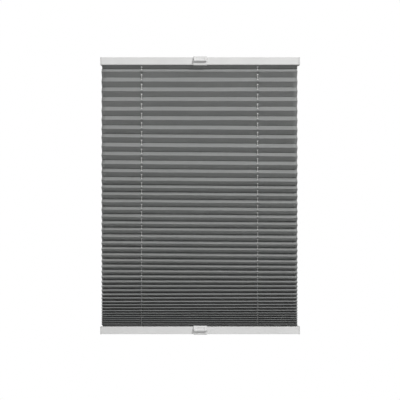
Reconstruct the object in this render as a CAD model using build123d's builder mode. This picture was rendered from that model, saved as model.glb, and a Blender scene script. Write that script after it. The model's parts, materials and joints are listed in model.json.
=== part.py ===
from build123d import *
import math
import os

# Pleated blind, let down. Millimetres, +Z up, front towards -Y.
# The origin is at the middle of the top rail's upper face.
# Body 1 is the top rail with its cords, springs and fabric. Body 2 is the
# bottom rail, which is pushed up along the two cords and folds the fabric up.

# ---------------------------------------------------------------- dimensions
BLIND_W = 600.0        # over the end caps
BLIND_H = 831.9        # top face of the top rail to underside of the bottom rail
CAP_T = 4.0            # end cap plate
RAIL_H = 22.5
RAIL_D = 24.0
RAIL_WALL = 1.4
LIP_IN = 3.2           # each lip of the slot reaches this far in from the wall
GROOVE_Y = -8.6        # clip groove along both long faces, near the front
GROOVE_W = 1.2
GROOVE_DEEP = 0.5

FABRIC_W = 590.0
FABRIC_X = -1.85        # the fabric sits this far off the rails' middle
FABRIC_T = 0.4
GLUE = 0.15            # glue line between the cloth's tab and its strip
FACE_LEN = 20.0        # crease to crease along the cloth
FIRST_CREASE_Z = -42.7
# Heights of the pleats from one front crease to the next, from the top down:
# the cloth's weight pulls the upper ones open and packs the last ones on the
# bottom rail.
PITCHES = (
    30.1, 29.3, 29.2, 29.0, 28.3, 27.9, 25.4, 27.8, 25.9, 26.5, 24.5,
    25.1, 21.6, 21.6, 22.1, 22.9, 21.5, 20.0, 19.6, 20.7, 18.9, 17.5,
    18.6, 17.0, 16.4, 15.5, 15.7, 14.2, 13.1, 12.4, 12.4, 10.8, 11.0,
    9.0, 9.0, 8.7, 7.8, 6.6, 6.6, 6.0, 5.7, 5.4, 4.8,
)
PLEATS = len(PITCHES) + 1  # front creases
TAB_FRONT = -4.0       # glued tab, front and back ends
TAB_BACK = 6.0
FIRST_BACK_Y = 3.5     # the half pleat under the top rail is pulled shallower than the rest
STRIP_LEN = 583.0

CORD_R = 0.65
CORD_X_LEFT = -176.4
CORD_X_RIGHT = 173.7
CORD_BEND_R = 8.0      # where each cord turns from the fabric into the rail
CORD_RUN_Z = -9.0      # height of the level run inside the top rail
HOLE_R = 1.8           # punched hole in each face of the cloth

HANDLE_W = 41.0
HANDLE_X = 0.3
SPRING_LEN = 44.0
SPRING_R = 3.4         # to the middle of the wire
SPRING_WIRE_R = 0.4
SPRING_PITCH = 2.2
ANCHOR_HALF = 9.0      # half the length of the spring anchor's block

# ---------------------------------------------------------------- derived
RAIL_LEN = BLIND_W - 2 * CAP_T
X_END = RAIL_LEN / 2
HD = RAIL_D / 2
IN_Y = HD - RAIL_WALL                 # inner wall
SLOT_Y = IN_Y - LIP_IN                # half the slot
BOT_TOP = -(BLIND_H - RAIL_H)         # upper face of the bottom rail
BOT_Z = -BLIND_H
TOP_UNDER = -RAIL_H
GAP = TOP_UNDER - BOT_TOP             # between the rails

os.makedirs("parts", exist_ok=True)


# ---------------------------------------------------------------- rails
# One aluminium extrusion serves both rails; the bottom one is turned over.
def rail_profile(z_far, up):
    """Draws the section: closed wall at z_far, slot on the other side. up = 1 if z_far is the upper face."""
    z_slot = z_far - up * RAIL_H
    z_mid = (z_far + z_slot) / 2
    with Locations((0, z_mid)):
        RectangleRounded(RAIL_D, RAIL_H, 0.9)
    with Locations((0, z_mid)):
        RectangleRounded(RAIL_D - 2 * RAIL_WALL, RAIL_H - 2 * RAIL_WALL, 0.5, mode=Mode.SUBTRACT)
    with Locations((0, z_slot)):
        Rectangle(2 * SLOT_Y, 4 * RAIL_WALL, mode=Mode.SUBTRACT)
    with Locations((GROOVE_Y, z_far), (GROOVE_Y, z_slot)):
        Rectangle(GROOVE_W, 2 * GROOVE_DEEP, mode=Mode.SUBTRACT)


with BuildPart() as top_rail:
    with BuildSketch(Plane.YZ.offset(-X_END)):
        rail_profile(0.0, 1)
    extrude(amount=RAIL_LEN)
top_rail.part.label = "top_rail"
export_step(top_rail.part, "parts/top_rail.step")

with BuildPart() as bottom_rail:
    with BuildSketch(Plane.YZ.offset(-X_END)):
        rail_profile(BOT_Z, -1)
    extrude(amount=RAIL_LEN)
    # the two cord exits in the underside
    with BuildSketch(Plane.XY.offset(BOT_Z - 1)):
        with Locations((CORD_X_LEFT, 0), (CORD_X_RIGHT, 0)):
            Circle(3.4)
    extrude(amount=1 + 2 * RAIL_WALL, mode=Mode.SUBTRACT)
bottom_rail.part.label = "bottom_rail"
export_step(bottom_rail.part, "parts/bottom_rail.step")


# ---------------------------------------------------------------- end caps
# A moulded plate over the rail's end with a hollow plug pushed into the rail.
def end_cap(name, side, z_low, slot_low):
    """side -1 left, 1 right; slot_low: the rail's slot is on its lower side."""
    z_mid = z_low + RAIL_H / 2
    inside = side * X_END
    plug_y = 2 * IN_Y - 0.5
    plug_h = RAIL_H - 2 * RAIL_WALL - 3.2
    plug_z = z_mid + (1.3 if slot_low else -1.3)
    with BuildPart() as cap:
        with BuildSketch(Plane.YZ.offset(inside)):
            with Locations((0, z_mid)):
                RectangleRounded(RAIL_D + 0.8, RAIL_H + 0.6, 1.3)
        extrude(amount=side * CAP_T)
        outer = cap.faces().sort_by(Axis.X)[-1 if side > 0 else 0]
        fillet(outer.edges(), radius=0.8)
        with BuildSketch(Plane.YZ.offset(inside)):
            with Locations((0, plug_z)):
                RectangleRounded(plug_y, plug_h, 1.0)
            with Locations((0, plug_z)):
                RectangleRounded(plug_y - 3.2, plug_h - 3.2, 0.6, mode=Mode.SUBTRACT)
        extrude(amount=-side * 14.0)
        if slot_low is False:
            # foot nib under the bottom rail's end
            with BuildSketch(Plane.XZ.offset(-8.0)):
                with BuildLine():
                    Polyline(
                        (inside + side * 0.6, z_low + 0.6),
                        (inside + side * (CAP_T - 0.1), z_low + 0.6),
                        (inside + side * (CAP_T - 0.1), z_low - 1.0),
                        (inside + side * (CAP_T - 1.3), z_low - 1.5),
                        close=True,
                    )
                make_face()
            extrude(amount=16.0)
    cap.part.label = name
    export_step(cap.part, "parts/" + name + ".step")
    return cap.part


end_cap("top_cap_left", -1, TOP_UNDER, True)
end_cap("top_cap_right", 1, TOP_UNDER, True)
end_cap("bottom_cap_left", -1, BOT_Z, False)
end_cap("bottom_cap_right", 1, BOT_Z, False)


# ---------------------------------------------------------------- handles
# A moulded clip: it hooks over the rail's front, a bead in each groove, and
# carries a thumb dish over a finger lip. Both rails have the same one, the
# same way up.
def handle(name, z_top):
    profile = [
        (-8.05, z_top + 0.05),
        (-8.05, z_top + 2.0),
        (-8.6, z_top + 2.5),
        (-13.0, z_top + 2.5),
        (-13.7, z_top + 2.1),
        (-20.2, z_top - 9.4),
        (-20.5, z_top - 10.4),
        (-20.4, z_top - 12.3),
        (-19.8, z_top - 12.9),
        (-15.6, z_top - 13.3),
        (-14.6, z_top - 13.9),
        (-14.2, z_top - 15.2),
        (-14.0, z_top - 23.2),
        (-13.3, z_top - 24.1),
        (-12.6, z_top - 24.3),
        (-7.9, z_top - 24.3),
        (-7.4, z_top - 23.9),
        (-7.4, z_top - RAIL_H - 0.05),
        (-12.05, z_top - RAIL_H - 0.05),
        (-12.05, z_top + 0.05),
    ]
    with BuildPart() as clip:
        with BuildSketch(Plane.YZ.offset(HANDLE_X - HANDLE_W / 2)):
            with BuildLine():
                Polyline(*profile, close=True)
            make_face()
        extrude(amount=HANDLE_W)
        # sides drawn in towards the lip
        with BuildSketch(Plane.XY.offset(z_top - 26)):
            with BuildLine():
                Polyline(
                    (HANDLE_X - HANDLE_W / 2, -6.0),
                    (HANDLE_X - HANDLE_W / 2, -13.2),
                    (HANDLE_X - HANDLE_W / 2 + 2.6, -21.5),
                    (HANDLE_X + HANDLE_W / 2 - 2.6, -21.5),
                    (HANDLE_X + HANDLE_W / 2, -13.2),
                    (HANDLE_X + HANDLE_W / 2, -6.0),
                    close=True,
                )
            make_face()
        extrude(amount=30, mode=Mode.INTERSECT)
        # thumb dish
        with BuildSketch(Plane.YZ.offset(HANDLE_X - 13.5)):
            with Locations((-21.6, z_top - 3.7)):
                Circle(6.1)
        extrude(amount=27.0, mode=Mode.SUBTRACT)
        # beads that snap into the rail's grooves
        with BuildSketch(Plane.YZ.offset(HANDLE_X - 14)):
            with Locations((GROOVE_Y, z_top - 0.15), (GROOVE_Y, z_top - RAIL_H + 0.15)):
                Rectangle(0.8, 0.5)
        extrude(amount=28.0)
    clip.part.label = name
    export_step(clip.part, "parts/" + name + ".step")
    return clip.part


handle("top_handle", 0.0)
handle("bottom_handle", BOT_TOP)

# ---------------------------------------------------------------- fabric
# Crease positions (y, z) of the cloth's middle surface, from the top down.
front_z = [FIRST_CREASE_Z]
for pitch in PITCHES:
    front_z.append(front_z[-1] - pitch)


def half_depth(pitch):
    return math.sqrt(FACE_LEN**2 - (pitch / 2) ** 2) / 2


tab_top_z = TOP_UNDER + FABRIC_T / 2
tab_bottom_z = BOT_TOP - FABRIC_T / 2
line = [(TAB_BACK, tab_top_z), (TAB_FRONT, tab_top_z)]
line.append((FIRST_BACK_Y, FIRST_CREASE_Z + 10.6))
for n, z in enumerate(front_z):
    pitch = PITCHES[n] if n + 1 < PLEATS else PITCHES[-1]
    above = PITCHES[n - 1] if n else PITCHES[0]
    line.append((-half_depth((pitch + above) / 2), z))
    if n + 1 < PLEATS:
        line.append((half_depth(pitch), z - pitch / 2))
line.append((TAB_BACK, tab_bottom_z))
line.append((TAB_FRONT - 1.0, tab_bottom_z))


def thick(points, t):
    """Outline of a sheet of thickness t along a zigzag, with its outer fold corners cut flat."""
    left, right = [], []
    count = len(points)
    dirs = []
    for a, b in zip(points, points[1:]):
        d = math.hypot(b[0] - a[0], b[1] - a[1])
        dirs.append(((b[0] - a[0]) / d, (b[1] - a[1]) / d))
    h = t / 2
    for i, (y, z) in enumerate(points):
        if i in (0, count - 1):
            u = dirs[0] if i == 0 else dirs[-1]
            left.append((y - u[1] * h, z + u[0] * h))
            right.append((y + u[1] * h, z - u[0] * h))
            continue
        u, v = dirs[i - 1], dirs[i]
        turn = u[0] * v[1] - u[1] * v[0]
        nl = ((-u[1], u[0]), (-v[1], v[0]))
        # unit bisector of the two left normals, and the mitre length
        bx, bz = nl[0][0] + nl[1][0], nl[0][1] + nl[1][1]
        bl = math.hypot(bx, bz)
        bx, bz = bx / bl, bz / bl
        mitre = h / (bx * nl[0][0] + bz * nl[0][1])
        if turn > 0:  # turns left: the left side is the inner one
            left.append((y + bx * mitre, z + bz * mitre))
            right.append((y - nl[0][0] * h - bx * 0.1, z - nl[0][1] * h - bz * 0.1))
            right.append((y - nl[1][0] * h - bx * 0.1, z - nl[1][1] * h - bz * 0.1))
        else:
            right.append((y - bx * mitre, z - bz * mitre))
            left.append((y + nl[0][0] * h + bx * 0.1, z + nl[0][1] * h + bz * 0.1))
            left.append((y + nl[1][0] * h + bx * 0.1, z + nl[1][1] * h + bz * 0.1))
    return left + right[::-1]


# A hole for each cord in every face, square to the cloth, where the face
# crosses the cord's plane y = 0.
hole_spots = []
for (y0, z0), (y1, z1) in zip(line, line[1:]):
    if y0 * y1 < 0:
        s = y0 / (y0 - y1)
        length = math.hypot(y1 - y0, z1 - z0)
        normal = (0, -(z1 - z0) / length, (y1 - y0) / length)
        for x in (CORD_X_LEFT, CORD_X_RIGHT):
            spot = Plane(origin=(x, 0, z0 + s * (z1 - z0)), x_dir=(1, 0, 0), z_dir=normal)
            hole_spots.append(spot.location)

with BuildPart() as pleated_fabric:
    with BuildSketch(Plane.YZ.offset(FABRIC_X - FABRIC_W / 2)):
        with BuildLine():
            Polyline(*thick(line, FABRIC_T), close=True)
        make_face()
    extrude(amount=FABRIC_W)
    with Locations(*hole_spots):
        Cylinder(HOLE_R, 1.2, mode=Mode.SUBTRACT)
    # the cloth is a little longer than the rail on the left, so its tabs stop
    # short of the end caps
    with Locations((-X_END - 0.5, 0, TOP_UNDER + 0.5), (-X_END - 0.5, 0, BOT_TOP - 0.5)):
        Box(1.3, 40, 1.9, mode=Mode.SUBTRACT)
pleated_fabric.part.label = "pleated_fabric"
export_step(pleated_fabric.part, "parts/pleated_fabric.step")

flat = sum(math.dist(a, b) for a, b in zip(line, line[1:]))
print("fabric flat length", round(flat, 1), "width", FABRIC_W, "creases", len(line) - 2)
print("rail gap", round(GAP, 1), "fabric solids", len(pleated_fabric.part.solids()))


# ---------------------------------------------------------------- fabric strips
# A T-section strip slides into each slot and holds the cloth's glued tab.
def fabric_strip(name, z_slot, up):
    """up = 1: the strip lies above the slot (top rail); -1: below it (bottom rail)."""
    z_tab = z_slot + up * (FABRIC_T + GLUE)
    z_lip = z_slot + up * (RAIL_WALL + 0.05)
    with BuildPart() as strip:
        with BuildSketch(Plane.YZ.offset(-STRIP_LEN / 2)):
            with BuildLine():
                Polyline(
                    (-SLOT_Y + 0.3, z_tab),
                    (SLOT_Y - 0.3, z_tab),
                    (SLOT_Y - 0.3, z_lip),
                    (IN_Y - 0.7, z_lip),
                    (IN_Y - 0.7, z_lip + up * 1.3),
                    (-IN_Y + 0.7, z_lip + up * 1.3),
                    (-IN_Y + 0.7, z_lip),
                    (-SLOT_Y + 0.3, z_lip),
                    close=True,
                )
            make_face()
        extrude(amount=STRIP_LEN)
        with BuildSketch(Plane.XY.offset(z_slot - 5)):
            with Locations((CORD_X_LEFT, 0), (CORD_X_RIGHT, 0)):
                Circle(2.0)
        extrude(amount=10, mode=Mode.SUBTRACT)
    strip.part.label = name
    export_step(strip.part, "parts/" + name + ".step")
    return strip.part


fabric_strip("top_fabric_strip", TOP_UNDER, 1)
fabric_strip("bottom_fabric_strip", BOT_TOP, -1)
STRIP_TOP = TOP_UNDER + RAIL_WALL + 0.05 + 1.3      # the top strip's upper side
STRIP_BOTTOM = BOT_TOP - RAIL_WALL - 0.05 - 1.3     # the bottom strip's lower side


# ---------------------------------------------------------------- top cord guides
# A block on the strip that leads the cord round a quarter bend, from the
# fabric's hole to the level run inside the rail.
def top_cord_guide(name, x, toward):
    """toward: +1 if the level run goes to +X."""
    cx, cz = x + toward * CORD_BEND_R, CORD_RUN_Z - CORD_BEND_R
    x_out, x_in = x - toward * 5.0, x + toward * 15.0
    with BuildPart() as guide:
        with BuildSketch(Plane.XZ.offset(-9.0)):
            with BuildLine():
                Polyline(
                    (x_out, STRIP_TOP),
                    (x_in, STRIP_TOP),
                    (x_in, CORD_RUN_Z + 2.0),
                    (x_out, CORD_RUN_Z + 2.0),
                    close=True,
                )
            make_face()
        extrude(amount=18.0)
        # slot for the cord, its floor curved to the bend
        with BuildSketch(Plane.XZ.offset(-0.95)):
            with Locations(((x - toward * 1.0 + x_in + toward) / 2, (cz + CORD_RUN_Z + 3.0) / 2)):
                Rectangle(abs(x_in + toward - x + toward * 1.0), CORD_RUN_Z + 3.0 - cz)
            with Locations((x, CORD_RUN_Z - 8)):
                Rectangle(2.0, 16.0)
            with Locations((cx, cz)):
                Rectangle(40, 40, mode=Mode.INTERSECT)
            with Locations((cx, cz)):
                Circle(CORD_BEND_R - CORD_R - 0.1, mode=Mode.SUBTRACT)
            with Locations((cx + toward * 10, cz - 2)):
                Rectangle(20, 2 * (CORD_BEND_R - CORD_R - 0.1) + 4, mode=Mode.SUBTRACT)
        extrude(amount=1.9, mode=Mode.SUBTRACT)
        # eye in the foot
        with BuildSketch(Plane.XY.offset(STRIP_TOP - 1)):
            with Locations((x, 0)):
                Circle(1.0)
        extrude(amount=8, mode=Mode.SUBTRACT)
    guide.part.label = name
    export_step(guide.part, "parts/" + name + ".step")
    print(name, "solids", len(guide.part.solids()))
    return guide.part


guide_l = top_cord_guide("top_cord_guide_left", CORD_X_LEFT, 1)
guide_r = top_cord_guide("top_cord_guide_right", CORD_X_RIGHT, -1)

# ---------------------------------------------------------------- bottom cord guides and stops
STOP_TOP = BOT_Z + 5.0
STOP_R = 2.0


def bottom_cord_guide(name, x):
    """A bush in the bottom rail: the cord runs through it and its stop seats in the lower mouth."""
    with BuildPart() as bush:
        with BuildSketch(Plane.XY.offset(BOT_Z + RAIL_WALL + 0.05)):
            with Locations((x, 0)):
                RectangleRounded(16.0, 16.0, 2.0)
        extrude(amount=STRIP_BOTTOM - 0.1 - (BOT_Z + RAIL_WALL + 0.05))
        with BuildSketch(Plane.XY.offset(BOT_Z)):
            with Locations((x, 0)):
                Circle(3.3)
        extrude(amount=RAIL_WALL + 0.1)
        with BuildSketch(Plane.XY.offset(BOT_Z - 1)):
            with Locations((x, 0)):
                Circle(1.2)
        extrude(amount=RAIL_H + 2, mode=Mode.SUBTRACT)
        with BuildSketch(Plane.XY.offset(BOT_Z - 1)):
            with Locations((x, 0)):
                Circle(STOP_R + 0.4)
        extrude(amount=1 + 5.05, mode=Mode.SUBTRACT)
    bush.part.label = name
    export_step(bush.part, "parts/" + name + ".step")
    return bush.part


def cord_stop(name, x):
    """Crimped bead on the cord's lower end, which the bottom rail hangs on."""
    with BuildPart() as stop:
        with BuildSketch(Plane.XY.offset(BOT_Z + 1.0)):
            with Locations((x, 0)):
                Circle(STOP_R)
        extrude(amount=4.0)
        fillet(stop.edges(), radius=0.5)
        with BuildSketch(Plane.XY.offset(BOT_Z + 2.0)):
            with Locations((x, 0)):
                Circle(CORD_R + 0.02)
        extrude(amount=6.0, mode=Mode.SUBTRACT)
    stop.part.label = name
    export_step(stop.part, "parts/" + name + ".step")
    return stop.part


bottom_cord_guide("bottom_cord_guide_left", CORD_X_LEFT)
bottom_cord_guide("bottom_cord_guide_right", CORD_X_RIGHT)
cord_stop("cord_stop_left", CORD_X_LEFT)
cord_stop("cord_stop_right", CORD_X_RIGHT)

# ---------------------------------------------------------------- spring set
# In the middle of the top rail an anchor block holds two tension springs on
# studs. A plug screwed into each spring's far end holds the cord.
SPRING_IN = ANCHOR_HALF + 1.0                 # where each spring starts
SPRING_OUT = SPRING_IN + SPRING_LEN
STUD_R = SPRING_R - SPRING_WIRE_R - 0.15

with BuildPart() as spring_anchor:
    with BuildSketch(Plane.XY.offset(STRIP_TOP)):
        Rectangle(2 * ANCHOR_HALF, 2 * IN_Y - 0.4)
    extrude(amount=-RAIL_WALL - 0.2 - STRIP_TOP)
    fillet(spring_anchor.edges().filter_by(Axis.Z), radius=1.0)
    with BuildSketch(Plane.YZ.offset(-ANCHOR_HALF - 8)):
        with Locations((0, CORD_RUN_Z)):
            Circle(STUD_R)
    extrude(amount=2 * ANCHOR_HALF + 16)
spring_anchor.part.label = "spring_anchor"
export_step(spring_anchor.part, "parts/spring_anchor.step")


def tension_spring(name, side):
    start = side * SPRING_IN
    turns = SPRING_LEN / SPRING_PITCH
    axis_dir = (side, 0, 0)
    with BuildPart() as spring:
        with BuildLine():
            path = Helix(
                pitch=SPRING_PITCH,
                height=SPRING_LEN,
                radius=SPRING_R,
                center=(start, 0, CORD_RUN_Z),
                direction=axis_dir,
            )
        with BuildSketch(Plane(origin=path @ 0, z_dir=path % 0)):
            Circle(SPRING_WIRE_R)
        sweep(path=path, is_frenet=True)
    spring.part.label = name
    export_step(spring.part, "parts/" + name + ".step")
    print(name, "turns", turns, "volume", round(spring.part.volume, 1), "expected", round(
        math.pi * SPRING_WIRE_R**2 * turns * math.hypot(2 * math.pi * SPRING_R, SPRING_PITCH), 1))
    return spring.part


tension_spring("tension_spring_left", -1)
tension_spring("tension_spring_right", 1)


def spring_plug(name, side):
    inner = side * (SPRING_OUT - 8)
    with BuildPart() as plug:
        with BuildSketch(Plane.YZ.offset(inner)):
            with Locations((0, CORD_RUN_Z)):
                Circle(STUD_R)
        extrude(amount=side * 9.0)
        with BuildSketch(Plane.YZ.offset(side * (SPRING_OUT + 1.0))):
            with Locations((0, CORD_RUN_Z)):
                Circle(4.2)
        extrude(amount=side * 5.0)
        fillet(plug.faces().sort_by(Axis.X)[-1 if side > 0 else 0].edges(), radius=0.8)
        with BuildSketch(Plane.YZ.offset(side * (SPRING_OUT - 3.0))):
            with Locations((0, CORD_RUN_Z)):
                Circle(CORD_R + 0.02)
        extrude(amount=side * 12.0, mode=Mode.SUBTRACT)
    plug.part.label = name
    export_step(plug.part, "parts/" + name + ".step")
    return plug.part


spring_plug("spring_plug_left", -1)
spring_plug("spring_plug_right", 1)


# ---------------------------------------------------------------- cords
# Each cord is one length: from its stop, straight up through the bottom
# guide and every pleat, round the bend in the top guide, and level to its plug.
def cord(name, x, toward):
    x_end = -toward * (SPRING_OUT - 3.0)
    z_low = BOT_Z + 2.0
    bend_x, bend_z = x + toward * CORD_BEND_R, CORD_RUN_Z - CORD_BEND_R
    with BuildPart() as cord_part:
        with BuildLine():
            up = Line((x, 0, z_low), (x, 0, bend_z))
            corner = math.sqrt(0.5) * CORD_BEND_R
            ThreePointArc(
                (x, 0, bend_z),
                (bend_x - toward * corner, 0, bend_z + corner),
                (bend_x, 0, CORD_RUN_Z),
            )
            Line((bend_x, 0, CORD_RUN_Z), (x_end, 0, CORD_RUN_Z))
        with BuildSketch(Plane(origin=(x, 0, z_low), z_dir=(0, 0, 1))):
            Circle(CORD_R)
        sweep()
    cord_part.part.label = name
    export_step(cord_part.part, "parts/" + name + ".step")
    length = (bend_z - z_low) + math.pi / 2 * CORD_BEND_R + abs(x_end - bend_x)
    print(name, "length", round(length, 1), "bend radius", CORD_BEND_R,
          "volume", round(cord_part.part.volume, 1), "expected", round(length * math.pi * CORD_R**2, 1))
    return cord_part.part


cord("cord_left", CORD_X_LEFT, 1)
cord("cord_right", CORD_X_RIGHT, -1)
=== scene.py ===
import json
import math
import random

import bmesh
import bpy
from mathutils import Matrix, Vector


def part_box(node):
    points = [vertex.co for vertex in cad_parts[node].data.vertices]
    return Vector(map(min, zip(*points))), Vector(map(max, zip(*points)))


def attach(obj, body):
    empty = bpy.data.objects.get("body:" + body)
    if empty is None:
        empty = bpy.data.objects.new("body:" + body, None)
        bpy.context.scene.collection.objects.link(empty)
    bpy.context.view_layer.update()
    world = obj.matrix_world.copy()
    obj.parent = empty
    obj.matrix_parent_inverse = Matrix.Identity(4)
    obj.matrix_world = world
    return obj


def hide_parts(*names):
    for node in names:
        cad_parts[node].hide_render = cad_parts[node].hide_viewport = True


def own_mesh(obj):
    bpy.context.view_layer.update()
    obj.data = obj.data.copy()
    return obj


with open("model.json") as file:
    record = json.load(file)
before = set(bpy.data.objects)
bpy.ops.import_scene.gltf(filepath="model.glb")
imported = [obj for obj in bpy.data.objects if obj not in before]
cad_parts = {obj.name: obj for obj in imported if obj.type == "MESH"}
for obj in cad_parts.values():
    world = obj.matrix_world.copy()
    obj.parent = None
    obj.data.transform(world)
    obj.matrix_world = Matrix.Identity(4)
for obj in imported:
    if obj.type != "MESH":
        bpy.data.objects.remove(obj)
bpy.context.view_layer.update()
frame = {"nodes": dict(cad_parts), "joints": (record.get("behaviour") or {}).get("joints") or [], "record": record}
NODES = frame["nodes"]
TOP, BOTTOM = "top_rail_assembly", "bottom_rail_assembly"
SLIDE = "bottom_rail_slide"
MM = 0.001
random.seed(7)

RAIL_LO, RAIL_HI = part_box("top_rail")
BRAIL_LO, BRAIL_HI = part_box("bottom_rail")
CLOTH_LO, CLOTH_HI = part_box("pleated_fabric")
HANDLE_LO, HANDLE_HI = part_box("bottom_handle")
TOP_UNDER = RAIL_LO.z
BOT_TOP = BRAIL_HI.z
drop = TOP_UNDER - BOT_TOP
travel = [j for j in frame["joints"] if j["name"] == SLIDE][0]["range_m"][1]
KEEP = (drop - travel) / drop  # what is left of the cloth's height when it is folded up
CORD_X = [sum(c.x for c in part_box(n)) / 2 for n in ("cord_stop_left", "cord_stop_right")]


# ------------------------------------------------------------------ nodes
def new_material(name):
    m = bpy.data.materials.new(name)
    m.use_nodes = True
    nt = m.node_tree
    nt.nodes.clear()
    out = nt.nodes.new("ShaderNodeOutputMaterial")
    b = nt.nodes.new("ShaderNodeBsdfPrincipled")
    nt.links.new(b.outputs[0], out.inputs[0])
    return m, nt, b


def math_node(nt, op, a, b=None, clamp=False):
    n = nt.nodes.new("ShaderNodeMath")
    n.operation = op
    n.use_clamp = clamp
    for i, v in enumerate((a, b)):
        if v is None:
            continue
        if hasattr(v, "links"):
            nt.links.new(v, n.inputs[i])
        else:
            n.inputs[i].default_value = v
    return n.outputs[0]


def ramp(nt, fac, stops, interp="LINEAR"):
    r = nt.nodes.new("ShaderNodeValToRGB")
    r.color_ramp.interpolation = interp
    el = r.color_ramp.elements
    while len(el) > 1:
        el.remove(el[-1])
    el[0].position, el[0].color = stops[0][0], stops[0][1]
    for p, c in stops[1:]:
        e = el.new(p)
        e.color = c
    nt.links.new(fac, r.inputs[0])
    return r.outputs[0]


def grey(v, tint=(1, 1, 1)):
    return (v * tint[0], v * tint[1], v * tint[2], 1)


def object_coords(nt, scale=(1, 1, 1)):
    tc = nt.nodes.new("ShaderNodeTexCoord")
    mp = nt.nodes.new("ShaderNodeMapping")
    mp.inputs["Scale"].default_value = scale
    nt.links.new(tc.outputs["Object"], mp.inputs[0])
    return mp.outputs[0]


def noise(nt, vec, scale, detail=2.0, rough=0.5):
    n = nt.nodes.new("ShaderNodeTexNoise")
    n.inputs["Scale"].default_value = scale
    n.inputs["Detail"].default_value = detail
    n.inputs["Roughness"].default_value = rough
    nt.links.new(vec, n.inputs["Vector"])
    return n.outputs["Fac"]


def bump(nt, height, strength, distance, normal=None):
    b = nt.nodes.new("ShaderNodeBump")
    b.inputs["Strength"].default_value = strength
    b.inputs["Distance"].default_value = distance
    nt.links.new(height, b.inputs["Height"])
    if normal is not None:
        nt.links.new(normal, b.inputs["Normal"])
    return b.outputs[0]


def moulded(name, base, rough, grain_mm=0.35, grain=0.06, tint=(1.0, 1.0, 0.99), worn=0.94, spec=0.5):
    """Painted or moulded surface: fine grain, slow colour drift, slightly dirtier in places."""
    m, nt, b = new_material(name)
    vec = object_coords(nt)
    slow = noise(nt, vec, 14.0, 3.0, 0.55)
    col = ramp(nt, slow, [(0.30, grey(base * worn, tint)), (0.70, grey(base, tint))])
    nt.links.new(col, b.inputs["Base Color"])
    fine = noise(nt, vec, 1.0 / (grain_mm * MM), 2.0, 0.6)
    r = math_node(nt, "MULTIPLY_ADD", fine, 0.14)
    r.node.inputs[2].default_value = rough - 0.07
    nt.links.new(r, b.inputs["Roughness"])
    nt.links.new(bump(nt, fine, grain, grain_mm * MM * 0.6), b.inputs["Normal"])
    b.inputs["Specular IOR Level"].default_value = spec
    return m


# ------------------------------------------------------------------ materials
mat_rail = moulded("rail_powder_coat", 0.72, 0.42, 0.55, 0.10)
mat_cap = moulded("cap_plastic", 0.62, 0.50, 0.40, 0.10)
mat_handle = moulded("handle_plastic", 0.70, 0.38, 0.45, 0.06)
mat_strip = moulded("strip_plastic", 0.60, 0.45, 0.50, 0.08)
mat_guide = moulded("guide_plastic", 0.68, 0.45, 0.40, 0.08)
mat_fitting = moulded("fitting_plastic", 0.66, 0.45, 0.30, 0.08)


def metal_wire():
    m, nt, b = new_material("spring_wire")
    vec = object_coords(nt, (40, 400, 400))
    f = noise(nt, vec, 8.0, 3.0, 0.6)
    nt.links.new(ramp(nt, f, [(0.3, grey(0.52)), (0.7, grey(0.66))]), b.inputs["Base Color"])
    b.inputs["Metallic"].default_value = 1.0
    r = math_node(nt, "MULTIPLY_ADD", f, 0.2)
    r.node.inputs[2].default_value = 0.24
    nt.links.new(r, b.inputs["Roughness"])
    nt.links.new(bump(nt, f, 0.1, 0.0001), b.inputs["Normal"])
    return m


mat_spring = metal_wire()


def braid():
    """Round braid: two crossing sets of slanted strands, from the cord's own height and angle."""
    m, nt, b = new_material("cord_braid")
    tc = nt.nodes.new("ShaderNodeTexCoord")
    sep = nt.nodes.new("ShaderNodeSeparateXYZ")
    nt.links.new(tc.outputs["Object"], sep.inputs[0])
    run = math_node(nt, "ADD", sep.outputs[0], sep.outputs[2])
    a = math_node(nt, "MULTIPLY", math_node(nt, "ADD", run, sep.outputs[1]), 2 * math.pi / (0.9 * MM))
    c = math_node(nt, "MULTIPLY", math_node(nt, "SUBTRACT", run, sep.outputs[1]), 2 * math.pi / (0.9 * MM))
    s1, s2 = math_node(nt, "SINE", a), math_node(nt, "SINE", c)
    mx = math_node(nt, "MAXIMUM", s1, s2)
    h = math_node(nt, "MULTIPLY_ADD", mx, 0.5)
    h.node.inputs[2].default_value = 0.5
    col = ramp(nt, h, [(0.0, grey(0.44, (1, 1, 0.97))), (0.8, grey(0.66, (1, 1, 0.98)))])
    nt.links.new(col, b.inputs["Base Color"])
    b.inputs["Roughness"].default_value = 0.75
    b.inputs["Sheen Weight"].default_value = 0.2
    nt.links.new(bump(nt, h, 0.5, 0.00012), b.inputs["Normal"])
    return m


mat_cord = braid()


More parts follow.
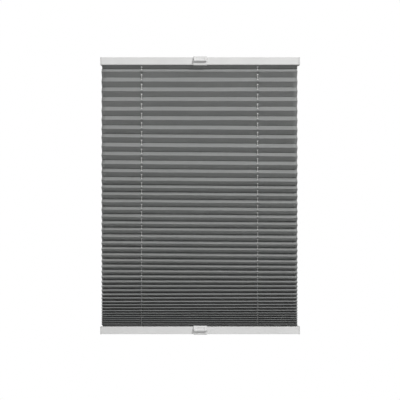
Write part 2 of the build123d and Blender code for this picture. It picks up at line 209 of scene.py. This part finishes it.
def cloth():
    """Plain-woven polyester, pressed into pleats. UV is the flat cloth in metres: u across, v along."""
    m, nt, b = new_material("pleat_cloth")
    uv = nt.nodes.new("ShaderNodeUVMap")
    uv.uv_map = "flat"
    sep = nt.nodes.new("ShaderNodeSeparateXYZ")
    nt.links.new(uv.outputs[0], sep.inputs[0])
    u, v = sep.outputs[0], sep.outputs[1]
    # weave: warp and weft 0.42 mm apart
    per = 2 * math.pi / (0.42 * MM)
    wu = math_node(nt, "SINE", math_node(nt, "MULTIPLY", u, per))
    wv = math_node(nt, "SINE", math_node(nt, "MULTIPLY", v, per))
    weave = math_node(nt, "MULTIPLY_ADD", math_node(nt, "MULTIPLY", wu, wv), 0.5)
    weave.node.inputs[2].default_value = 0.5
    # slubs: long thin streaks along the weft and warp
    mp = nt.nodes.new("ShaderNodeMapping")
    mp.inputs["Scale"].default_value = (35, 900, 1)
    nt.links.new(uv.outputs[0], mp.inputs[0])
    slub = noise(nt, mp.outputs[0], 1.0, 3.0, 0.6)
    mp2 = nt.nodes.new("ShaderNodeMapping")
    mp2.inputs["Scale"].default_value = (900, 30, 1)
    nt.links.new(uv.outputs[0], mp2.inputs[0])
    slub2 = noise(nt, mp2.outputs[0], 1.0, 3.0, 0.6)
    patch = nt.nodes.new("ShaderNodeTexNoise")
    patch.inputs["Scale"].default_value = 9.0
    patch.inputs["Detail"].default_value = 2.0
    nt.links.new(uv.outputs[0], patch.inputs["Vector"])
    mix = math_node(nt, "ADD", math_node(nt, "MULTIPLY", slub, 0.45), math_node(nt, "MULTIPLY", slub2, 0.30))
    mix = math_node(nt, "ADD", mix, math_node(nt, "MULTIPLY", patch.outputs["Fac"], 0.25))
    tint = (0.975, 1.0, 0.985)
    base = ramp(nt, mix, [(0.30, grey(CLOTH_DARK, tint)), (0.70, grey(CLOTH_LIGHT, tint))])
    # painted shade: the cloth colour is darkened along every pleat crease, fading out 1.6 mm from it, standing in for
    # the shade that falls into the folds
    at = nt.nodes.new("ShaderNodeAttribute")
    at.attribute_name = "crease_shade_mask"
    crease_shade_mask = ramp(nt, at.outputs["Fac"], [(0.0, grey(1.0)), (1.0, grey(CREASE_SHADE_DARK))])
    mul = nt.nodes.new("ShaderNodeMix")
    mul.data_type = "RGBA"
    mul.blend_type = "MULTIPLY"
    mul.inputs[0].default_value = 1.0
    nt.links.new(base, mul.inputs[6])
    nt.links.new(crease_shade_mask, mul.inputs[7])
    wm = nt.nodes.new("ShaderNodeMix")
    wm.data_type = "RGBA"
    wm.blend_type = "MULTIPLY"
    wm.inputs[0].default_value = 1.0
    wcol = ramp(nt, weave, [(0.0, grey(0.93)), (0.6, grey(1.0))])
    nt.links.new(mul.outputs[2], wm.inputs[6])
    nt.links.new(wcol, wm.inputs[7])
    nt.links.new(wm.outputs[2], b.inputs["Base Color"])
    r = math_node(nt, "MULTIPLY_ADD", slub, 0.12)
    r.node.inputs[2].default_value = 0.76
    nt.links.new(r, b.inputs["Roughness"])
    b.inputs["Sheen Weight"].default_value = 0.15
    b.inputs["Sheen Roughness"].default_value = 0.6
    b.inputs["Specular IOR Level"].default_value = 0.25
    # thin cloth lets some light through
    b.inputs["Subsurface Weight"].default_value = 0.26
    b.inputs["Subsurface Radius"].default_value = (1.0, 1.0, 1.0)
    b.inputs["Subsurface Scale"].default_value = 0.0012
    h = math_node(nt, "ADD", weave, math_node(nt, "MULTIPLY", slub, 1.2))
    nt.links.new(bump(nt, h, 0.25, 0.00012), b.inputs["Normal"])
    return m


# the third value is the painted crease shade: the cloth colour is multiplied by it on the pleat creases
CLOTH_DARK, CLOTH_LIGHT, CREASE_SHADE_DARK = 0.225, 0.262, 0.60
mat_cloth = cloth()

SLOT_MATS = {
    "rail": mat_rail, "cap": mat_cap, "handle": mat_handle, "strip": mat_strip, "guide": mat_guide,
    "cord_fitting": mat_fitting, "spring": mat_spring, "cord": mat_cord, "cloth": mat_cloth,
}
for part in frame["record"]["subparts"]:
    o = NODES[part["node"]]
    o.data.materials.clear()
    o.data.materials.append(SLOT_MATS[part["material_slot"]])

# moulded and extruded edges aren't razor sharp
EDGE_R = {"top_handle": 0.45, "bottom_handle": 0.45}
EDGE_R.update({n: 0.35 for n in ("top_cap_left", "top_cap_right", "bottom_cap_left", "bottom_cap_right")})
for name, r in EDGE_R.items():
    o = NODES[name]
    bev = o.modifiers.new("rounded_edges", "BEVEL")
    bev.width = r * MM
    bev.segments = 3
    bev.limit_method = "ANGLE"
    bev.angle_limit = math.radians(38)
    bev.harden_normals = True
    bev.use_clamp_overlap = True

# ------------------------------------------------------------------ cloth
FACE = 20.0
FIRST_Z = -42.7
PITCHES = (
    30.1, 29.3, 29.2, 29.0, 28.3, 27.9, 25.4, 27.8, 25.9, 26.5, 24.5,
    25.1, 21.6, 21.6, 22.1, 22.9, 21.5, 20.0, 19.6, 20.7, 18.9, 17.5,
    18.6, 17.0, 16.4, 15.5, 15.7, 14.2, 13.1, 12.4, 12.4, 10.8, 11.0,
    9.0, 9.0, 8.7, 7.8, 6.6, 6.6, 6.0, 5.7, 5.4, 4.8,
)
CLOTH_T = 0.34
HOLE = 1.8
FIRST_BACK_Y = 3.5
TAB_END = 295.8  # the tabs and the faces next to them stop short of the end caps
X0, X1 = CLOTH_LO.x / MM, CLOTH_HI.x / MM
tab_top = TOP_UNDER / MM - 0.2 + 0.4
tab_bot = BOT_TOP / MM - 0.2


def half_depth(p):
    return math.sqrt(FACE**2 - (p / 2) ** 2) / 2


def crease_lines():
    """Creases from the top down: (kind, y, z) with kind t tab, b back, f front."""
    z = FIRST_Z
    out = [("t", 6.0, tab_top), ("t", -4.0, tab_top), ("b", FIRST_BACK_Y, FIRST_Z + 10.6)]
    for n in range(len(PITCHES) + 1):
        p = PITCHES[n] if n < len(PITCHES) else PITCHES[-1]
        above = PITCHES[n - 1] if n else PITCHES[0]
        out.append(("f", -half_depth((p + above) / 2), z))
        if n < len(PITCHES):
            drop = min(0.3, 0.03 * p)
            out.append(("b", half_depth(p), z - p / 2 - drop))
            z -= p
    out += [("t", 6.0, tab_bot), ("t", -5.0, tab_bot)]
    return out


CREASES = crease_lines()


def step(t, a, b):
    t = min(1.0, max(0.0, (t - a) / (b - a)))
    return t * t * (3 - 2 * t)


def sag(z):
    """How far the creases run down to the right, in mm over the cloth's width, at height z (mm)."""
    t = (z - TOP_UNDER / MM) / (BOT_TOP / MM - TOP_UNDER / MM)
    return 4.3 * step(t, 0.14, 0.30) * (1 - step(t, 0.74, 0.88)) - 1.1 * step(t, 0.80, 0.90) * (1 - step(t, 0.93, 1.0))


# The lower handle's hook stands up from the rail just in front of the slot. It holds the
# lowest pleats back, up to the height that comes down to it when the cloth is folded up.
PUSH = 2.3
PUSH_L, PUSH_R, PUSH_SIDE = HANDLE_LO.x / MM - 4.0, HANDLE_HI.x / MM + 4.0, 14.0
PUSH_Z = BOT_TOP / MM + ((HANDLE_HI.z - BOT_TOP) / MM + 0.5) / KEEP


def pushed_back(x, z):
    across = 1 - step(max(PUSH_L - x, x - PUSH_R, 0.0), 0.0, PUSH_SIDE)
    return PUSH * across * (1 - step(z, PUSH_Z, PUSH_Z + 24.0))


WAVE = [
    [(random.uniform(0.05, 0.13), random.uniform(1.0, 3.2), random.uniform(0, 6.28)) for _ in range(3)]
    for _ in CREASES
]


def crease_point(i, x):
    kind, y, z = CREASES[i]
    if kind == "t":
        return y, z
    q = (x - (X0 + X1) / 2) / (X1 - X0)  # -0.5 to 0.5
    # the closer the pleats, the less a crease can wander between its neighbours
    room = min(1.0, abs(CREASES[min(i + 1, len(CREASES) - 1)][2] - z) / 10.0) ** 2.2
    w = sum(a * math.sin(f * 2 * math.pi * q + ph) for a, f, ph in WAVE[i]) * room
    z2 = z - sag(z) * (q + 0.13) + w
    y2 = y + 0.35 * w * (1 if kind == "b" else -1) + pushed_back(x, z)
    return y2, z2


# Each face is a strip from crease i to i+1, in (x, s), s from 0 to 1 along the
# face, with a punched hole at each cord.
def strip_columns():
    """x positions outside the two square patches round the cords."""
    half = 5.0
    spans, at = [], X0
    for cx in (CORD_X[0] / MM, CORD_X[1] / MM):
        spans.append((at, cx - half, "grid"))
        spans.append((cx - half, cx + half, "hole"))
        at = cx + half
    spans.append((at, X1, "grid"))
    return spans


def columns(a, b):
    """Column edges of a plain span, closer together behind the handle."""
    cuts = [a] + [c for c in (PUSH_L - PUSH_SIDE, PUSH_R + PUSH_SIDE) if a < c < b] + [b]
    xs = [a]
    for c0, c1 in zip(cuts, cuts[1:]):
        gap = 6.0 if len(cuts) == 4 and c0 == cuts[1] else 14.0
        n = max(2, round((c1 - c0) / gap))
        xs += [c0 + (c1 - c0) * k / n for k in range(1, n + 1)]
    return xs


S_ROWS = [0.0, 0.035, 0.12, 0.30, 0.5, 0.70, 0.88, 0.965, 1.0]


def build_cloth():
    bm = bmesh.new()
    uv_layer = bm.loops.layers.uv.new("flat")
    # per-vertex weight of the painted crease shade
    crease_shade_layer = bm.verts.layers.float.new("crease_shade_mask")
    uvs, crease_shade_of_vert = {}, {}
    cache = {}
    arc = [0.0]
    for a, b in zip(CREASES, CREASES[1:]):
        arc.append(arc[-1] + math.hypot(b[1] - a[1], b[2] - a[2]))

    def place(i, x, s):
        """Vertex on face i at x, s, shared along creases."""
        if s >= 1.0:
            i, s = i + 1, 0.0
        key = (i, round(x, 4), round(s, 5))
        if key in cache:
            return cache[key]
        y0, z0 = crease_point(i, x)
        if s == 0.0 or i + 1 >= len(CREASES):
            y, z = y0, z0
            # soften the fold: pull the crease in a touch
            if CREASES[i][0] != "t":
                y *= 0.992
            # painted crease shade weight: full on a pleat crease, none on the tabs
            crease_shade_weight = 1.0 if CREASES[i][0] != "t" else 0.0
        else:
            y1, z1 = crease_point(i + 1, x)
            y, z = y0 + (y1 - y0) * s, z0 + (z1 - z0) * s
            length = arc[i + 1] - arc[i]
            # faces bow very slightly
            nrm = (-(z1 - z0) / length, (y1 - y0) / length)
            bow = BOW * math.sin(math.pi * s) * min(1.0, length / 20.0) * (1 if i % 2 else -1)
            y, z = y + nrm[0] * bow, z + nrm[1] * bow
            d = min(s, 1 - s) * length
            # the painted crease shade fades out 1.6 mm from the crease
            crease_shade_weight = max(0.0, 1.0 - d / 1.6)
            ends = (CREASES[i][0], CREASES[i + 1][0])
            if (s < 0.5 and ends[0] == "t") or (s > 0.5 and ends[1] == "t"):
                crease_shade_weight = 0.0
        if i in (0, 1, len(CREASES) - 3, len(CREASES) - 2, len(CREASES) - 1):
            # the tabs and the faces next to them stay between the end caps
            v = bm.verts.new((max(-TAB_END, min(TAB_END, x)) * MM, y * MM, z * MM))
        else:
            v = bm.verts.new((x * MM, y * MM, z * MM))
        cache[key] = v
        uvs[v] = (x * MM, (arc[i] + (arc[min(i + 1, len(arc) - 1)] - arc[i]) * s) * MM)
        crease_shade_of_vert[v] = crease_shade_weight
        return v

    spans = strip_columns()
    for i in range(len(CREASES) - 1):
        y0, y1 = CREASES[i][1], CREASES[i + 1][1]
        tabface = CREASES[i][0] == "t" and CREASES[i + 1][0] == "t"
        length = arc[i + 1] - arc[i]
        rows = [0.0, 1.0] if tabface else S_ROWS
        cross = y0 / (y0 - y1) if y0 * y1 < 0 else None
        for a, b, kind in spans:
            if kind == "grid":
                xs = columns(a, b)
                for k in range(len(xs) - 1):
                    for r0, r1 in zip(rows, rows[1:]):
                        bm.faces.new([place(i, xs[k], r0), place(i, xs[k + 1], r0), place(i, xs[k + 1], r1), place(i, xs[k], r1)])
            else:
                # patch with a round hole: spokes from the hole's rim to the patch's border
                cx = (a + b) / 2
                sc = cross if cross is not None else 0.5
                border = []
                rs = rows
                # border loop, anticlockwise in (x, s)
                for x in (a, cx - 2.5, cx, cx + 2.5):
                    border.append((x, 0.0))
                for s in rs[:-1]:
                    border.append((b, s)) if s > 0 or (b, 0.0) not in border else None
                for x in (b, cx + 2.5, cx, cx - 2.5):
                    border.append((x, 1.0))
                for s in rs[::-1][:-1]:
                    if (a, s) not in border:
                        border.append((a, s))
                seen, loop = set(), []
                for p in border:
                    if p not in seen:
                        seen.add(p)
                        loop.append(p)
                rim = []
                for x, s in loop:
                    ang = math.atan2((s - sc) * length, x - cx)
                    rim.append(ang)
                rim_v = []
                for ang in rim:
                    hx, hs = cx + HOLE * math.cos(ang), sc + HOLE * math.sin(ang) / length
                    rim_v.append(place(i, round(hx, 4), min(0.97, max(0.03, hs))))
                loop_v = [place(i, x, s) for x, s in loop]
                m = len(loop)
                for k in range(m):
                    q = [loop_v[k], loop_v[(k + 1) % m], rim_v[(k + 1) % m], rim_v[k]]
                    if len(set(q)) >= 3:
                        try:
                            bm.faces.new(list(dict.fromkeys(q)))
                        except ValueError:
                            pass
    # store the painted crease shade weights on the vertices for the cloth material
    for v, f in crease_shade_of_vert.items():
        v[crease_shade_layer] = f
    for f in bm.faces:
        for l in f.loops:
            l[uv_layer].uv = uvs[l.vert]
        f.smooth = True
    # crisp folds: mark the creases sharp
    key_of = {v: k for k, v in cache.items()}
    for e in bm.edges:
        k0, k1 = key_of[e.verts[0]], key_of[e.verts[1]]
        if k0[0] == k1[0] and k0[2] == 0.0 and k1[2] == 0.0:
            e.smooth = False
    bmesh.ops.recalc_face_normals(bm, faces=bm.faces)
    me = bpy.data.meshes.new("pleated_cloth")
    bm.to_mesh(me)
    bm.free()
    o = bpy.data.objects.new("pleated_cloth", me)
    bpy.context.scene.collection.objects.link(o)
    return o, arc[-1]


BOW = 0.18
cloth_obj, flat_len = build_cloth()
cloth_obj.data.materials.append(mat_cloth)
sol = cloth_obj.modifiers.new("thickness", "SOLIDIFY")
sol.thickness = CLOTH_T * MM
sol.offset = 0.0
sol.use_even_offset = False
bpy.context.view_layer.objects.active = cloth_obj
cloth_obj.select_set(True)
bpy.ops.object.modifier_apply(modifier="thickness")
cloth_obj.select_set(False)
print("cloth flat", round(flat_len, 1), "tris", sum(len(p.vertices) - 2 for p in cloth_obj.data.polygons))
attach(cloth_obj, TOP)
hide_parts("pleated_fabric")
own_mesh(cloth_obj)


# ------------------------------------------------------------------ stage
def stage_material():
    """White where it is looked at, and dim as a light source, so the pleats' undersides stay dark."""
    m = bpy.data.materials.new("stage_floor")
    m.use_nodes = True
    nt = m.node_tree
    nt.nodes.clear()
    out = nt.nodes.new("ShaderNodeOutputMaterial")
    d = nt.nodes.new("ShaderNodeBsdfDiffuse")
    d.inputs[0].default_value = (FLOOR_BOUNCE, FLOOR_BOUNCE, FLOOR_BOUNCE, 1)
    e = nt.nodes.new("ShaderNodeEmission")
    e.inputs[0].default_value = (1, 1, 1, 1)
    e.inputs[1].default_value = 1.0
    lp = nt.nodes.new("ShaderNodeLightPath")
    seen = nt.nodes.new("ShaderNodeMixShader")
    nt.links.new(lp.outputs["Is Camera Ray"], seen.inputs[0])
    nt.links.new(d.outputs[0], seen.inputs[1])
    nt.links.new(e.outputs[0], seen.inputs[2])
    t = nt.nodes.new("ShaderNodeBsdfTransparent")
    g = nt.nodes.new("ShaderNodeNewGeometry")
    mix = nt.nodes.new("ShaderNodeMixShader")
    nt.links.new(g.outputs["Backfacing"], mix.inputs[0])
    nt.links.new(seen.outputs[0], mix.inputs[1])
    nt.links.new(t.outputs[0], mix.inputs[2])
    nt.links.new(mix.outputs[0], out.inputs[0])
    return m


FLOOR_BOUNCE = 0.46
SKY_UP, SKY_DOWN = 0.26, 0.10
KEY_W, FILL_W, FRONT_W, BEHIND_W = 230, 54, 3.0, 190

bm = bmesh.new()
bmesh.ops.create_circle(bm, cap_ends=True, radius=9.0, segments=96)
me = bpy.data.meshes.new("stage_floor")
bm.to_mesh(me)
bm.free()
floor = bpy.data.objects.new("stage_floor", me)
bpy.context.scene.collection.objects.link(floor)
floor.location = (0, 0, -1.60)
floor.data.materials.append(stage_material())

world = bpy.data.worlds.new("studio")
bpy.context.scene.world = world
world.use_nodes = True
nt = world.node_tree
nt.nodes.clear()
wout = nt.nodes.new("ShaderNodeOutputWorld")
seen = nt.nodes.new("ShaderNodeBackground")
seen.inputs[0].default_value = (1, 1, 1, 1)
seen.inputs[1].default_value = 1.0
lit = nt.nodes.new("ShaderNodeBackground")
lit.inputs[1].default_value = 1.0
wtc = nt.nodes.new("ShaderNodeTexCoord")
wsep = nt.nodes.new("ShaderNodeSeparateXYZ")
nt.links.new(wtc.outputs["Generated"], wsep.inputs[0])
up = math_node(nt, "MULTIPLY_ADD", wsep.outputs[2], 0.5)
up.node.inputs[2].default_value = 0.5
nt.links.new(ramp(nt, up, [(0.25, grey(SKY_DOWN)), (0.80, grey(SKY_UP))]), lit.inputs[0])
lp = nt.nodes.new("ShaderNodeLightPath")
mx = nt.nodes.new("ShaderNodeMixShader")
nt.links.new(lp.outputs["Is Camera Ray"], mx.inputs[0])
nt.links.new(lit.outputs[0], mx.inputs[1])
nt.links.new(seen.outputs[0], mx.inputs[2])
nt.links.new(mx.outputs[0], wout.inputs[0])


def area_light(name, loc, target, size, power):
    d = bpy.data.lights.new(name, "AREA")
    d.shape = "DISK"
    d.size = size
    d.energy = power
    o = bpy.data.objects.new(name, d)
    bpy.context.scene.collection.objects.link(o)
    o.location = loc
    o.rotation_mode = "QUATERNION"
    o.rotation_quaternion = (Vector(target) - Vector(loc)).to_track_quat("-Z", "Y")
    o.visible_camera = False
    return o


# a hard-edged key from the upper right and a weaker one from the upper left throw the
# cords' two shadows; a broad front light reaches the undersides of the open pleats
area_light("key", (2.9, -3.15, 3.1), (0, 0, -0.42), 0.34, KEY_W)
area_light("fill", (-2.3, -3.7, 2.6), (0, 0, -0.42), 0.33, FILL_W)
area_light("front", (0.1, -1.9, -0.72), (0, 0, -0.30), 0.9, FRONT_W)
area_light("behind", (-1.4, 3.6, 1.3), (0, 0, -0.42), 1.6, BEHIND_W)

# ------------------------------------------------------------------ camera
# Level, a little below the middle of the blind, looking straight at it.
D = 2.75
cam_d = bpy.data.cameras.new("camera")
cam = bpy.data.objects.new("camera", cam_d)
bpy.context.scene.collection.objects.link(cam)
bpy.context.scene.camera = cam
cam_d.sensor_width = 36.0
cam_d.lens = 82.4
cam_d.shift_y = 0.06
cam.location = (-0.00036, -0.012 - D, -0.5011)
cam.rotation_mode = "XYZ"
cam.rotation_euler = (math.pi / 2, 0, 0)
cam_d.clip_start, cam_d.clip_end = 0.05, 60

scene = bpy.context.scene
scene.view_settings.view_transform = "Standard"
scene.view_settings.look = "None"
scene.view_settings.exposure = 0.0
scene.view_settings.gamma = 1.0

bpy.context.view_layer.update()
